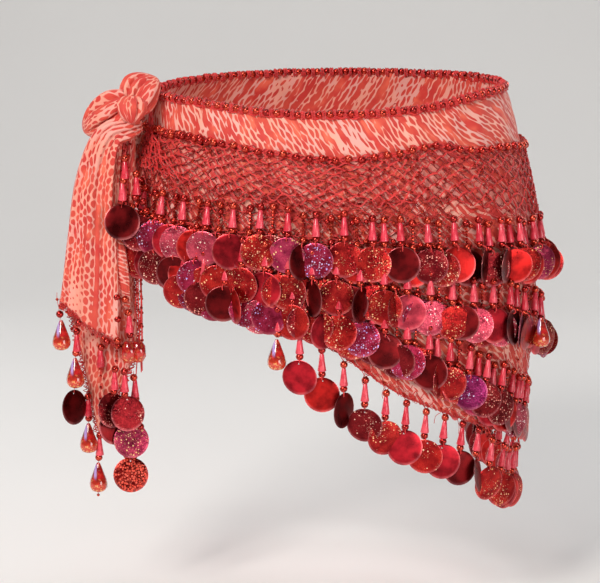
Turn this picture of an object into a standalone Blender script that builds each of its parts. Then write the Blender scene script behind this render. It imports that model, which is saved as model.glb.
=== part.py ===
"""Belly dance hip scarf, as worn: a chiffon triangle tied at the wearer's right hip.

Metres, +Z up. The wearer faces -Y, so +X is their left side, where the triangle's point hangs.
The origin is the middle of the waist opening, level with the scarf's top edge.

Every stretch of the scarf that goes round the hips is found from two numbers: the angle round
the body and the height. Angle 0 is the wearer's left hip, 90 the front, -90 the back, and the
knot is at 180. The front and the back are two halves of one triangle, so they share one table.
"""
import math

import bmesh
import bpy
from mathutils import Matrix, Vector

COLLECTION_NAME = "belly_dance_hip_scarf"
MM = 0.001

# The general hip figure that the cloth is wrapped on: a soft rectangle in plan.
HIP_HALF_WIDTH = 0.175
HIP_FRONT_DEPTH = 0.115
HIP_BACK_DEPTH = 0.133
HIP_LEVEL = 0.150            # how far below the top edge the hips are widest
WAIST_TAPER_WIDTH = 0.026    # how much narrower each half is at the top edge
WAIST_TAPER_FRONT = 0.015
WAIST_TAPER_BACK = 0.028
LOWER_TAPER_FROM = 0.205     # how far below the top edge the hips begin to narrow again
LOWER_TAPER_SLOPE = 0.155    # how much each half narrows for each metre further down
PLAN_EXPONENT = 2.2

# Where the wrapped stretch stops on each side of the knot, in degrees.
FRONT_END_ANGLE = 166.0
REAR_END_ANGLE = -167.0
WRAP_COLUMNS = 42
ROWS_PER_BAND = 2

CLOTH_THICKNESS = 0.0012
NET_THICKNESS = 0.0015
BORDER_THICKNESS = 0.0025
FRINGE_THICKNESS = 0.0080
BEAD_SIZE = 0.0060
SEAM_CLEARANCE = 0.0003
ON_CLOTH = CLOTH_THICKNESS + SEAM_CLEARANCE
BORDER_WIDTH = 0.008

# Height of the top edge round the body: it dips in front and rides up over the left hip.
EDGE_COLUMNS = ("angle", "lift_mm")
EDGE_HEIGHTS = (
    (-180, 0),
    (-135, 3),
    (-90, 6),
    (0, 6),
    (30, 5),
    (45, 2),
    (60, -3),
    (75, -6),
    (90, -8),
    (105, -7),
    (120, -4),
    (140, 0),
    (180, 0),
)

# Drops below the top edge in millimetres, from the triangle's point to the knot.
LEVEL_COLUMNS = ("angle", "net_top", "net_foot", "tier_1", "tier_2", "hem", "tier_4")
LEVEL_DROPS = (
    (0, 50, 107, 171, 240, 303, 372),
    (30, 44, 96, 161, 217, 288, 354),
    (45, 41, 86, 155, 206, 273, 335),
    (60, 30, 74, 146, 191, 253, 312),
    (75, 33, 72, 137, 175, 230, 288),
    (90, 35, 70, 126, 155, 193, 252),
    (105, 31, 67, 105, 125, 147, 206),
    (120, 28, 66, 92, 108, 126, 184),
    (150, 27, 60, 74, 86, 98, 152),
    (180, 25, 50, 62, 72, 84, 136),
)

# The cloth's bands, top to bottom, as pairs of levels.
CLOTH_LEVELS = ("top", "net_top", "net_foot", "tier_1", "tier_2", "border_top", "hem")

# Puffed stretches of the tie: centre, half sizes (both mm) and roll about Y in degrees.
KNOT_COLUMNS = ("name", "centre_mm", "half_sizes_mm", "roll")
KNOT_PUFFS = (
    ("knot_upper", (-163.5, -52, 4.5), (19.0, 15.0, 16.5), 35),
    ("knot_left", (-196.5, -51, -13.7), (16.5, 15.0, 20.0), -20),
    ("knot_centre", (-174.0, -73.5, -9.5), (12.5, 9.5, 9.5), 0),
)
PUFF_SEGMENTS = 20
PUFF_RINGS = 10
PUFF_PLEATS = 5
PUFF_PLEAT_DEPTH = 0.06      # share of the puff's half size

# The roll of cloth under the knot that opens into the front tail.
THROAT_ROUTE_MM = ((-160, -60, -31), (-168, -61, -31), (-177, -62, -33), (-186, -62, -36))
THROAT_RADII_MM = (6, 8.5, 8.5, 6)

# Each gathered end of the wrap narrows to this edge behind the knot.
GATHER_TOP = 0.000
GATHER_FOOT = -0.022
GATHER_X = -0.172
GATHER_DEPTH = {"front_gather": -0.034, "rear_gather": -0.024}
GATHER_THICKNESS = 0.002
GATHER_COLUMNS = 6

# Hanging ends: edge positions in millimetres at each height, seen from the front.
TAIL_COLUMNS = ("z", "left_x", "right_x", "left_y", "right_y", "fold")
FRONT_TAIL = (
    (-46, -203, -178, -63, -66, 1.5),
    (-85, -216, -185, -64, -68, 4.0),
    (-128, -226, -177, -64, -69, 5.5),
    (-171, -232, -181, -64, -69, 6.0),
    (-203, -235, -182, -64, -69, 6.0),
)
REAR_TAIL = (
    (-42, -197, -181, -47, -52, 1.0),
    (-100, -210, -180, -47, -54, 2.0),
    (-171, -222, -168, -48, -54, 3.0),
    (-200, -213, -168, -48, -54, 3.0),
    (-244, -209, -189, -48, -51, 2.0),
    (-286, -200, -196, -48, -48, 0.3),
)
TAIL_THICKNESS = 0.0016
TAIL_SEGMENTS = 14
TAIL_ROWS = 12
FOLD_WAVES = 1.6             # pleats across a tail
HEM_RISE = 0.030             # how much higher the front tail's outer corner is
TAIL_BORDER_RADIUS = 0.002

# Dangles on the tails and beside the knot: the reach of each group, in millimetres.
DANGLE_COLUMNS = ("name", "left_x", "right_x", "top_z", "foot_z", "centre_y", "thickness")
DANGLE_GROUPS = (
    ("front_tail_drops", -241, -215, -204, -278, -65, 11),
    ("front_tail_strands", -191, -158, -215, -337, -66, 14),
    ("side_strands", -177, -163, -165, -212, -67, 7),
    ("rear_tail_drops", -213, -193, -295, -343, -46, 12),
)

# Colour (linear), roughness and metallic of each group of pieces.
FINISHES = {
    "chiffon": ((0.71, 0.065, 0.045), 0.65, 0.0),
    "net": ((0.42, 0.012, 0.016), 0.70, 0.0),
    "beads": ((0.33, 0.018, 0.014), 0.25, 0.6),
    "fringe": ((0.36, 0.010, 0.020), 0.35, 0.4),
}


def smooth_table(rows, column, at):
    """Value of one column of a table at a place in its first column, on a smooth curve."""
    last = len(rows) - 1
    place = min(max(at, rows[0][0]), rows[last][0])
    index = max(i for i in range(last) if rows[i][0] <= place)
    below, above = rows[index], rows[index + 1]
    before, after = rows[max(index - 1, 0)], rows[min(index + 2, last)]
    span = above[0] - below[0]
    share = (place - below[0]) / span
    slope_below = (above[column] - before[column]) / (above[0] - before[0]) * span
    slope_above = (after[column] - below[column]) / (after[0] - below[0]) * span
    return (
        below[column] * (2 * share**3 - 3 * share**2 + 1)
        + slope_below * (share**3 - 2 * share**2 + share)
        + above[column] * (3 * share**2 - 2 * share**3)
        + slope_above * (share**3 - share**2)
    )


def hip_point(angle, height, out):
    """Point on the hip figure at an angle in degrees and a height, moved outwards by out."""
    taper = max(0.0, 1 + height / HIP_LEVEL) ** 2
    lower_taper = LOWER_TAPER_SLOPE * max(0.0, -height - LOWER_TAPER_FROM)
    half_width = HIP_HALF_WIDTH - WAIST_TAPER_WIDTH * taper - lower_taper + out
    if math.sin(math.radians(angle)) >= 0:
        depth = HIP_FRONT_DEPTH - WAIST_TAPER_FRONT * taper + out
    else:
        depth = HIP_BACK_DEPTH - WAIST_TAPER_BACK * taper + out
    cosine, sine = math.cos(math.radians(angle)), math.sin(math.radians(angle))
    power = 2 / PLAN_EXPONENT
    return Vector((
        half_width * math.copysign(abs(cosine) ** power, cosine),
        -depth * math.copysign(abs(sine) ** power, sine),
        height,
    ))


def level(name, angle):
    """Height of a named line of the scarf at an angle."""
    top = smooth_table(EDGE_HEIGHTS, EDGE_COLUMNS.index("lift_mm"), angle) * MM
    if name == "top":
        return top
    if name == "border_top":
        return level("hem", angle) + BORDER_WIDTH
    return top - smooth_table(LEVEL_DROPS, LEVEL_COLUMNS.index(name), abs(angle)) * MM


def wrap_angle(u):
    """Angle at a share of the way round, from the rear end to the front end."""
    return REAR_END_ANGLE + u * (FRONT_END_ANGLE - REAR_END_ANGLE)


def cloth_surface(u, v):
    """Inner face of the wrapped cloth: v runs down through its bands."""
    angle = wrap_angle(u)
    place = v * (len(CLOTH_LEVELS) - 1)
    band = min(int(place + 1e-6), len(CLOTH_LEVELS) - 2)
    upper, lower = level(CLOTH_LEVELS[band], angle), level(CLOTH_LEVELS[band + 1], angle)
    return hip_point(angle, upper + (lower - upper) * (place - band), 0)


def band_surface(height_above, height_below, out):
    """Inner face of a strip on the cloth between two heights, each a function of the angle."""
    def surface(u, v):
        angle = wrap_angle(u)
        upper, lower = height_above(angle), height_below(angle)
        return hip_point(angle, upper + (lower - upper) * v, out)
    return surface


def between(upper, lower, out):
    """Strip between two named levels, clear of the strips above and below it."""
    half = SEAM_CLEARANCE / 2
    return band_surface(
        lambda angle: level(upper, angle) - half,
        lambda angle: level(lower, angle) + half,
        out,
    )


def bead_strip(name, out):
    """Strip one bead tall that stands on a named level."""
    return band_surface(
        lambda angle: level(name, angle) + SEAM_CLEARANCE + BEAD_SIZE,
        lambda angle: level(name, angle) + SEAM_CLEARANCE,
        out,
    )


def gather_surface(name):
    """Fan of cloth from one end of the wrap to the knot."""
    end = FRONT_END_ANGLE + 1 if name == "front_gather" else REAR_END_ANGLE - 1
    depth = GATHER_DEPTH[name]

    def surface(u, v):
        upper, lower = level("top", end), level("hem", end)
        start = hip_point(end, upper + (lower - upper) * v, CLOTH_THICKNESS / 2)
        foot = Vector((GATHER_X, depth, GATHER_TOP + (GATHER_FOOT - GATHER_TOP) * v))
        return start.lerp(foot, u)
    return surface


def tail_surface(rows, hem_rise):
    """Hanging end of the scarf: u from its left edge to its right, v down to its hem."""
    top, foot = rows[0][0], rows[-1][0]
    downward = tuple((-row[0],) + row[1:] for row in rows)

    def surface(u, v):
        height = top + (foot - top) * v
        left_x, right_x, left_y, right_y, fold = (
            smooth_table(downward, column, -height) for column in range(1, len(TAIL_COLUMNS))
        )
        pleat = fold * math.sin(math.tau * FOLD_WAVES * u)
        raised = hem_rise * (1 - u) ** 2 * v**2
        return Vector((
            (left_x + (right_x - left_x) * u) * MM,
            (left_y + (right_y - left_y) * u + pleat) * MM,
            height * MM + raised,
        ))
    return surface


def tail_border_surface(tail):
    """Crochet strip that continues a tail below its hem."""
    def surface(u, v):
        edge = tail(u, 1.0)
        return edge - Vector((0, 0, 2 * SEAM_CLEARANCE + BORDER_WIDTH * v))
    return surface


def dangle_surface(left_x, right_x, top_z, foot_z, centre_y):
    """Middle of a group of dangles, which narrows a little towards its foot."""
    def surface(u, v):
        spread = (u - 0.5) * (1 - 0.25 * v)
        return Vector((
            ((left_x + right_x) / 2 + (right_x - left_x) * spread) * MM,
            centre_y * MM,
            (top_z + (foot_z - top_z) * v) * MM,
        ))
    return surface


def clear_scene():
    for obj in list(bpy.data.objects):
        bpy.data.objects.remove(obj, do_unlink=True)


def finish_material(node_name, finish):
    colour, roughness, metallic = FINISHES[finish]
    material = bpy.data.materials.new(node_name)
    material.use_nodes = True
    shader = material.node_tree.nodes["Principled BSDF"]
    shader.inputs["Base Color"].default_value = (*colour, 1.0)
    shader.inputs["Roughness"].default_value = roughness
    shader.inputs["Metallic"].default_value = metallic
    return material


def add_object(collection, name, data, finish):
    obj = bpy.data.objects.new(name, data)
    collection.objects.link(obj)
    data.materials.append(finish_material(name, finish))
    return obj


def add_wall(collection, name, surface, columns, rows, thickness, finish, offset=1.0):
    """Wall of even thickness on a surface(u, v), from a grid bent onto it."""
    shape = bmesh.new()
    bmesh.ops.create_grid(shape, x_segments=columns, y_segments=rows, size=0.5)
    for vertex in shape.verts:
        vertex.co = surface(vertex.co.x + 0.5, vertex.co.y + 0.5)
    mesh = bpy.data.meshes.new(name)
    shape.to_mesh(mesh)
    shape.free()
    mesh.shade_smooth()
    wall = add_object(collection, name, mesh, finish)
    solidify = wall.modifiers.new("thickness", "SOLIDIFY")
    solidify.thickness = thickness
    solidify.offset = offset
    solidify.use_even_offset = True
    return wall


def add_puff(collection, name, centre_mm, half_sizes_mm, roll):
    """Rounded stretch of the tie."""
    shape = bmesh.new()
    bmesh.ops.create_uvsphere(shape, u_segments=PUFF_SEGMENTS, v_segments=PUFF_RINGS, radius=1.0)
    for vertex in shape.verts:
        longitude = math.atan2(vertex.co.y, vertex.co.x)
        waist = math.hypot(vertex.co.x, vertex.co.y)
        vertex.co *= 1 - PUFF_PLEAT_DEPTH * waist * (0.5 - 0.5 * math.cos(PUFF_PLEATS * longitude))
    sizes = Vector(half_sizes_mm) * MM
    turn = Matrix.Rotation(math.radians(roll), 4, "Y")
    place = Matrix.Translation(Vector(centre_mm) * MM) @ turn @ Matrix.Diagonal((*sizes, 1.0))
    bmesh.ops.transform(shape, matrix=place, verts=shape.verts)
    mesh = bpy.data.meshes.new(name)
    shape.to_mesh(mesh)
    shape.free()
    mesh.shade_smooth()
    return add_object(collection, name, mesh, "chiffon")


def add_tube(collection, name, route, radii, finish):
    """Tube along a route of points, with its own radius at each."""
    curve = bpy.data.curves.new(name, "CURVE")
    curve.dimensions = "3D"
    curve.bevel_depth = 1.0
    curve.bevel_resolution = 2
    curve.use_fill_caps = True
    spline = curve.splines.new("POLY")
    spline.points.add(len(route) - 1)
    for point, place, radius in zip(spline.points, route, radii):
        point.co = (*place, 1.0)
        point.radius = radius
    return add_object(collection, name, curve, finish)


def build_wrap(collection):
    """The triangle where it goes round the hips, and all that is sewn to it."""
    cloth_rows = ROWS_PER_BAND * (len(CLOTH_LEVELS) - 1)
    strips = (
        ("wrap_panel", cloth_surface, cloth_rows, CLOTH_THICKNESS, "chiffon"),
        ("top_bead_edge", bead_strip("top", -BEAD_SIZE / 3), 1, BEAD_SIZE, "beads"),
        ("net_bead_row", bead_strip("net_top", ON_CLOTH), 1, BEAD_SIZE, "beads"),
        ("net_panel", between("net_top", "net_foot", ON_CLOTH), ROWS_PER_BAND, NET_THICKNESS, "net"),
        ("fringe_tier_1", between("net_foot", "tier_1", ON_CLOTH), ROWS_PER_BAND, FRINGE_THICKNESS, "fringe"),
        ("fringe_tier_2", between("tier_1", "tier_2", ON_CLOTH), ROWS_PER_BAND, FRINGE_THICKNESS, "fringe"),
        ("fringe_tier_3", between("tier_2", "border_top", ON_CLOTH), ROWS_PER_BAND, FRINGE_THICKNESS, "fringe"),
        ("hem_border", between("border_top", "hem", ON_CLOTH), 1, BORDER_THICKNESS, "net"),
        ("fringe_tier_4", between("hem", "tier_4", ON_CLOTH), ROWS_PER_BAND, FRINGE_THICKNESS, "fringe"),
    )
    for name, surface, rows, thickness, finish in strips:
        add_wall(collection, name, surface, WRAP_COLUMNS, rows, thickness, finish)


def build_knot(collection):
    """The tie: two gathered ends, the puffs of the knot and the roll that leaves it."""
    for name in GATHER_DEPTH:
        add_wall(collection, name, gather_surface(name), GATHER_COLUMNS, ROWS_PER_BAND,
                 GATHER_THICKNESS, "chiffon", offset=0.0)
    for name, centre_mm, half_sizes_mm, roll in KNOT_PUFFS:
        add_puff(collection, name, centre_mm, half_sizes_mm, roll)
    route = [Vector(place) * MM for place in THROAT_ROUTE_MM]
    radii = [radius * MM for radius in THROAT_RADII_MM]
    add_tube(collection, "knot_throat", route, radii, "chiffon")


def build_tails(collection):
    """The triangle's two ends, which hang from the knot, with their borders and dangles."""
    front, rear = tail_surface(FRONT_TAIL, HEM_RISE), tail_surface(REAR_TAIL, 0.0)
    add_wall(collection, "front_tail", front, TAIL_SEGMENTS, TAIL_ROWS, TAIL_THICKNESS, "chiffon", 0.0)
    add_wall(collection, "rear_tail", rear, TAIL_SEGMENTS, TAIL_ROWS, TAIL_THICKNESS, "chiffon", 0.0)
    add_wall(collection, "front_tail_border", tail_border_surface(front), TAIL_SEGMENTS, 1,
             TAIL_THICKNESS, "net", 0.0)
    reach = TAIL_BORDER_RADIUS + 2 * SEAM_CLEARANCE + TAIL_THICKNESS / 2
    shares = [row / TAIL_ROWS for row in range(TAIL_ROWS // 2 + 2, TAIL_ROWS + 1)]
    left_edge = [rear(0.0, share) - Vector((reach, 0, 0)) for share in shares]
    right_edge = [rear(1.0, share) + Vector((reach, 0, 0)) for share in reversed(shares)]
    tip = [rear(0.5, 1.0) - Vector((0, 0, reach + TAIL_BORDER_RADIUS))]
    route = left_edge + tip + right_edge
    add_tube(collection, "rear_tail_border", route, [TAIL_BORDER_RADIUS] * len(route), "net")
    for name, left_x, right_x, top_z, foot_z, centre_y, thickness in DANGLE_GROUPS:
        surface = dangle_surface(left_x, right_x, top_z, foot_z, centre_y)
        add_wall(collection, name, surface, 2, 3, thickness * MM, "fringe", 0.0)


def main():
    clear_scene()
    collection = bpy.data.collections.new(COLLECTION_NAME)
    bpy.context.scene.collection.children.link(collection)
    build_wrap(collection)
    build_knot(collection)
    build_tails(collection)


main()
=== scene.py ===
"""Looks of the belly dance hip scarf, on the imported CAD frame.

The scarf goes round a general hip figure. A place on it is an angle round the body (0 at the
wearer's left hip, 90 at the front, 180 at the knot, negative at the back) and a height. Small
repeated things (beads, cones, paillettes, threads) are gathered into joined meshes by Batch.
"""
import math

import bpy
import numpy as np
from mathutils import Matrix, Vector


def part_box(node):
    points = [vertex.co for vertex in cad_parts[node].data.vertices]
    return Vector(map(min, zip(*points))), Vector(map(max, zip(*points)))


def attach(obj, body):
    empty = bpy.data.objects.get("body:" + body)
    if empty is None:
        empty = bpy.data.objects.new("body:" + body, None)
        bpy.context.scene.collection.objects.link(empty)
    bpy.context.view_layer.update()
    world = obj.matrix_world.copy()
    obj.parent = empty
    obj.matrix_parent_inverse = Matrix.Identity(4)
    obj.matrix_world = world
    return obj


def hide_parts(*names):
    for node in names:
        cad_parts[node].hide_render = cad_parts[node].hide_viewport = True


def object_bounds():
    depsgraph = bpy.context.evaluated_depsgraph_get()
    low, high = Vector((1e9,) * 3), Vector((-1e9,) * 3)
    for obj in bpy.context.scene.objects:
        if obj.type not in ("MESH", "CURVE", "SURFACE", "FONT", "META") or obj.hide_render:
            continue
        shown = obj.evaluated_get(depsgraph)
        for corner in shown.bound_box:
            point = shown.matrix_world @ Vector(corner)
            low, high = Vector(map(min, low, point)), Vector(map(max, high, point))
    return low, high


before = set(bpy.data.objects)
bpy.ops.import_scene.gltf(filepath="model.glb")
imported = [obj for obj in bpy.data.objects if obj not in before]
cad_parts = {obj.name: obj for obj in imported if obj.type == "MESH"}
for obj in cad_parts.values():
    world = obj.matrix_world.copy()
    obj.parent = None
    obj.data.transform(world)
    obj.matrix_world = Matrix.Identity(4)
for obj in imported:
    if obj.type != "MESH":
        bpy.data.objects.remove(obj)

CAD_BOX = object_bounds()
BODY = "root"
MM = 0.001
UP = np.array([0.0, 0.0, 1.0])
DOWN = -UP
RIGHT = np.array([1.0, 0.0, 0.0])
AHEAD = np.array([0.0, -1.0, 0.0])
RANDOM = np.random.default_rng(11)

# The hip figure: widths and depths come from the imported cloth, the taper is the cloth's own.
CLOTH_THICKNESS = 0.0012
LOWER_TAPER_FROM, LOWER_TAPER_SLOPE = 0.205, 0.155
PLAN_EXPONENT = 2.2
HIP_LEVEL = 0.150
TAPER_WIDTH, TAPER_FRONT, TAPER_BACK = 0.026, 0.015, 0.028
WRAP_LOW, WRAP_HIGH = (np.array(corner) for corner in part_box("wrap_panel"))
HALF_WIDTH = WRAP_HIGH[0] - CLOTH_THICKNESS
FRONT_DEPTH = -WRAP_LOW[1] - CLOTH_THICKNESS
BACK_DEPTH = WRAP_HIGH[1] - CLOTH_THICKNESS
FRONT_END, REAR_END = 166.0, -167.0     # angles where the wrap turns into the gathers
PRINT_LEAN = 37.0                       # of the print's strokes, in degrees from the upright

# Height of the top edge round the body, in millimetres.
EDGE_HEIGHTS = (
    # angle, lift
    (-180, 0), (-135, 3), (-90, 6), (0, 6), (30, 5), (45, 2),
    (60, -3), (75, -6), (90, -8), (105, -7), (120, -4), (140, 0), (180, 0),
)
# Drops of the cloth's own lines below the top edge, in millimetres, from the point to the knot.
NET_TOP, NET_FOOT, HEM = 1, 2, 3     # columns
CLOTH_DROPS = (
    # angle, net_top, net_foot, hem
    (0, 50, 107, 303),
    (30, 44, 96, 288),
    (45, 41, 86, 273),
    (60, 30, 74, 253),
    (75, 33, 72, 230),
    (90, 35, 70, 193),
    (105, 31, 67, 147),
    (120, 28, 66, 126),
    (150, 27, 60, 98),
    (180, 25, 50, 84),
)
# Drops of the first bead of each dangle below the top edge, in millimetres.
TIER_DROPS = (
    # angle, tier_1, tier_2, tier_3, tier_4
    (0, 112, 186, 262, 318),
    (30, 105, 162, 235, 302),
    (50, 96, 147, 207, 271),
    (75, 85, 122, 163, 235),
    (90, 79, 111, 138, 198),
    (105, 75, 104, 127, 155),
    (120, 77, 103, 120, 138),
    (150, 74, 96, 108, 116),
    (180, 60, 76, 86, 92),
)
# Each tier: its column of TIER_DROPS, the distances round the hips from the triangle's point
# (metres, positive towards the front) of its first and last dangles, their spacing, how far their
# paillettes turn to the front, and how far the threads above them rise.
TIERS = (
    ("tier_1", 1, 0.4213, -0.4130, 0.0222, 0.42, 0.0060),
    ("tier_2", 2, 0.3941, -0.3900, 0.0185, 0.24, 0.0060),
    ("tier_3", 3, 0.3510, -0.3450, 0.0179, 0.12, 0.0060),
    ("tier_4", 4, 0.2732, -0.2860, 0.0172, 0.30, 0.0130),
)
NEAR_KNOT, KNOT_LOOSENESS = 110, 0.85     # past this angle the paillettes turn this far to the front

# Strings of beads that hang from the tie: depth, then each thing on the string with its
# place (across, height) in millimetres. Paillettes also give their turn in degrees.
TIE_STRINGS = {
    "front_tail_drops": (
        (-66, (("seed", -232, -168), ("bead", -230, -180.6), ("drop", -229, -198.7))),
        (-66, (("bead", -216, -195.5), ("cone", -216, -205), ("bead", -217, -214.2),
               ("drop", -217.7, -231.5), ("shaded_wine_satin", -219, -261.5, 52))),
    ),
    "rear_tail_drops": (
        (-54, (("bead", -208.3, -255.2), ("cone", -208, -264.4), ("bead", -208, -273.9),
               ("drop", -208.3, -291.4))),
        (-52, (("bead", -198.8, -289.8), ("cone", -199.2, -299.5), ("bead", -200, -309.2),
               ("drop", -200.6, -326.7), ("seed", -201, -342.6))),
        (-58, (("bead", -196.2, -211), ("cone", -196.7, -220.4), ("seed", -196.8, -229.9),
               ("seed", -196.8, -236), ("seed", -197, -246), ("seed", -197.4, -256))),
    ),
    "front_tail_strands": (
        (-74, (("bead", -181, -202), ("seed", -181.6, -207), ("seed", -181.8, -211),
               ("seed", -182, -215), ("seed", -182.3, -219.5), ("bead", -183.2, -226.6),
               ("cone", -183.8, -236.4), ("bead", -184.5, -246), ("shaded_wine_glitter", -186.2, -262, 40))),
        (-66, (("shaded_wine_satin", -184.5, -279, 30),)),
        (-78, (("bead", -175.2, -227.8), ("cone", -175, -237.6), ("bead", -175.2, -247.6),
               ("shaded_wine_glitter", -172.8, -264.2, 22))),
        (-66, (("bead", -168.2, -235.6), ("cone", -167.2, -244.9), ("bead", -166.6, -254.1),
               ("cone", -165, -264.6), ("bead", -163, -278.5))),
        (-70, (("seed", -179.6, -300), ("seed", -164, -300), ("magenta_gold", -170.6, -289.6, 6),)),
        (-66, (("bead", -175, -303.5), ("bead", -168.5, -303.5), ("scarlet_dark", -171.7, -321.0, 4))),
    ),
    "side_strands": (
        (-68, (("bead", -171.8, -179), ("cone", -171.2, -188.4), ("bead", -170.6, -198),
               ("stone", -172.3, -213))),
        (-64, (("stone", -164.5, -213.5),)),
        (-70, (("bead", -181.5, -165), ("seed", -181.3, -170.5), ("seed", -181.2, -174.5),
               ("seed", -181, -178.5), ("bead", -181, -184))),
        (-68, (("bead", -174.2, -167.7),)),
    ),
    "knot_side": (
        (-80, (("bead", -171.9, -46), ("cone", -172.3, -55.2), ("bead", -173.6, -64.4),
               ("cone", -174.8, -73.6), ("bead", -175.6, -82), ("shaded_wine_satin", -175.4, -99.6, 8))),
        (-76, (("bead", -163.4, -59.6), ("cone", -163.2, -69.2), ("bead", -164.2, -79.5),
               ("shaded_wine_glitter", -162.4, -109.5, 12))),
        (-70, (("bead", -167.6, -88), ("bead", -158.5, -84), ("bead", -156, -92),)),
    ),
}

# Lobes of the knot, in millimetres: pinch, far end, half width, half depth, creases (count, depth
# and phase) and bend.
KNOT_LOBES = (
    ("knot_upper", (-168, -62, -4), (-146, -49, 17.0), 19.5, 15.0,
     ((7, 0.40, 0.4), (12, 0.24, 1.0), (19, 0.12, 2.0)), (-2, 2, 2)),
    ("knot_left", (-167, -63, -1), (-208.5, -48, -28), 22.0, 15.5,
     ((7, 0.40, 0.9), (12, 0.24, 0.2), (19, 0.12, 1.1)), (-1, 0, -1)),
    ("knot_centre", (-166, -65, 3), (-167, -73, -18), 14.0, 10.5,
     ((6, 0.42, 0.1), (10, 0.26, 0.8), (17, 0.12, 0.4)), (0, -4, 0)),
)
# Rolls of cloth, in millimetres: spine, half widths, half depths and pleats.
FRONT_TAIL = (
    ((-162, -58, -21), (-171, -66, -23), (-183, -68, -27), (-191.0, -67, -42),
     (-197.5, -66, -75), (-200.5, -66, -120), (-202.5, -66, -160), (-204.5, -66, -188)),
    (5.5, 8.0, 10.0, 13.5, 17.5, 21.0, 23.5, 24.5),
    (4.5, 6.5, 7.5, 7.5, 7.5, 7.0, 6.0, 5.0),
    ((3, 1.4, 5.4, 0.5, 0.9), (7, 1.6, 2.0, 1.2, -1.4), (15, 0.9, 0.4, 0.0, 2.0)),
)
FRONT_TWIST = (
    ((-186, -60, -86), (-182.5, -63, -105), (-178.5, -65, -128), (-176, -65, -150), (-174, -61, -176)),
    (1.2, 3.6, 5.0, 5.0, 3.0),
    (1.0, 2.4, 3.0, 2.8, 1.6),
    ((4, 0.5, 0.5, 0.4, 1.5),),
)
REAR_TAIL = (
    ((-173, -44, -22), (-177, -48, -45), (-187, -51, -100), (-195, -51, -160),
     (-191, -51, -210), (-196, -50, -255), (-198, -49, -288)),
    (6, 11, 19, 27, 24, 11, 1.5),
    (3, 3.5, 3.5, 3.0, 2.5, 2.0, 0.8),
    ((6, 0.5, 0.4, 0.3, 0.8), (10, 0.4, 0.3, 0.6, -0.7)),
)
# Bunches of beaded strands between the tails and the wrap: count, top and foot.
STRAND_BUNCHES = (
    (5, (-0.1655, -0.052, -0.100), (-0.1645, -0.060, -0.232)),
    (12, (-0.1760, -0.054, -0.030), (-0.1730, -0.057, -0.128)),
)

BEAD_RADIUS = 0.0033
SMALL_RADIUS = 0.0023
SEED_RADIUS = 0.0014
SEEDS_FOR_CONE = 5                            # seeds that take a cone's place in a back dangle
CONE_LENGTH = 0.0150
CONE_TOP, CONE_FOOT = 0.0017, 0.0036
DROP_LENGTH, DROP_RADIUS = 0.026, 0.0078
PAILLETTE_RADIUS = 0.0150
MOST_TURN, MOST_TURN_AT_SIDES = 0.95, 1.4     # furthest turn of a paillette from lying flat
# Painted highlight: a paler line round each paillette's rim.
PAINTED_RIM_HIGHLIGHT = np.array([0.34, 0.15, 0.15])      # added to the tint on a paillette's rim
# The crystal's lilac band is a painted highlight; this shift moves it off the stones.
STONE_SHIFT = 0.030                           # moves the streak of the drops off the stones
TOP_BEAD_SPACING = 0.0098
NET_BEAD_SPACING, KNOT_BEAD_SPACING = 0.0112, 0.0068
HEM_END_SPACING = 0.017

# Camera, at the height of a person looking slightly down at a figure's hips.
CAMERA_TARGET = (-0.027, 0.0, -0.174)
CAMERA_DISTANCE = 2.2
CAMERA_ELEVATION = math.radians(11)
CAMERA_LENS = 151.7
FLOOR_DROP = 0.075


# ---------------------------------------------------------------- places on the hip figure

def smooth(rows, column, at):
    """A table's column on a smooth curve through its rows, at places in its first column."""
    knots, values = np.asarray(rows, float)[:, [0, column]].T
    index = np.arange(len(knots))
    before, after = np.maximum(index - 1, 0), np.minimum(index + 1, len(knots) - 1)
    slopes = (values[after] - values[before]) / (knots[after] - knots[before])
    at = np.clip(at, knots[0], knots[-1])
    low = np.clip(np.searchsorted(knots, at, side="right") - 1, 0, len(knots) - 2)
    high = low + 1
    span = knots[high] - knots[low]
    share = (at - knots[low]) / span
    return (
        values[low] * (2 * share**3 - 3 * share**2 + 1)
        + values[high] * (3 * share**2 - 2 * share**3)
        + slopes[low] * span * (share**3 - 2 * share**2 + share)
        + slopes[high] * span * (share**3 - share**2)
    )


def catmull(points, count):
    """Smooth curve through a few points, as count points."""
    table = np.column_stack([np.arange(len(points)), np.asarray(points, float)])
    places = np.linspace(0, len(points) - 1, count)
    return np.stack([smooth(table, column, places) for column in range(1, table.shape[1])], axis=-1)


def top_edge(angle):
    return smooth(EDGE_HEIGHTS, 1, angle) * MM


def cloth_line(column, angle):
    """Height of the net's top (NET_TOP), the net's foot (NET_FOOT) or the hem (HEM)."""
    return top_edge(angle) - smooth(CLOTH_DROPS, column, np.abs(angle)) * MM


def tier_line(column, angle):
    return top_edge(angle) - smooth(TIER_DROPS, column, np.abs(angle)) * MM


def hip(angle, height, out=0.0):
    """Points on the hip figure, moved outwards."""
    angle, height, out = np.broadcast_arrays(
        np.asarray(angle, float), np.asarray(height, float), np.asarray(out, float))
    taper = np.maximum(0.0, 1 + height / HIP_LEVEL) ** 2
    sine, cosine = np.sin(np.radians(angle)), np.cos(np.radians(angle))
    depth = np.where(sine >= 0, FRONT_DEPTH - TAPER_FRONT * taper, BACK_DEPTH - TAPER_BACK * taper)
    lower = LOWER_TAPER_SLOPE * np.maximum(0.0, -height - LOWER_TAPER_FROM)
    half_width = HALF_WIDTH - TAPER_WIDTH * taper - lower
    power = 2 / PLAN_EXPONENT
    x = (half_width + out) * np.sign(cosine) * np.abs(cosine) ** power
    y = -(depth + out) * np.sign(sine) * np.abs(sine) ** power
    return np.stack([x, y, height], axis=-1)


def unit(vectors):
    return vectors / np.linalg.norm(vectors, axis=-1, keepdims=True)


def along_and_out(angle, height):
    """Level direction round the hips at a place, and the direction straight out from them."""
    step = 0.5
    along = unit(hip(angle + step, height) - hip(angle - step, height))
    return along, np.cross(along, DOWN)


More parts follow.
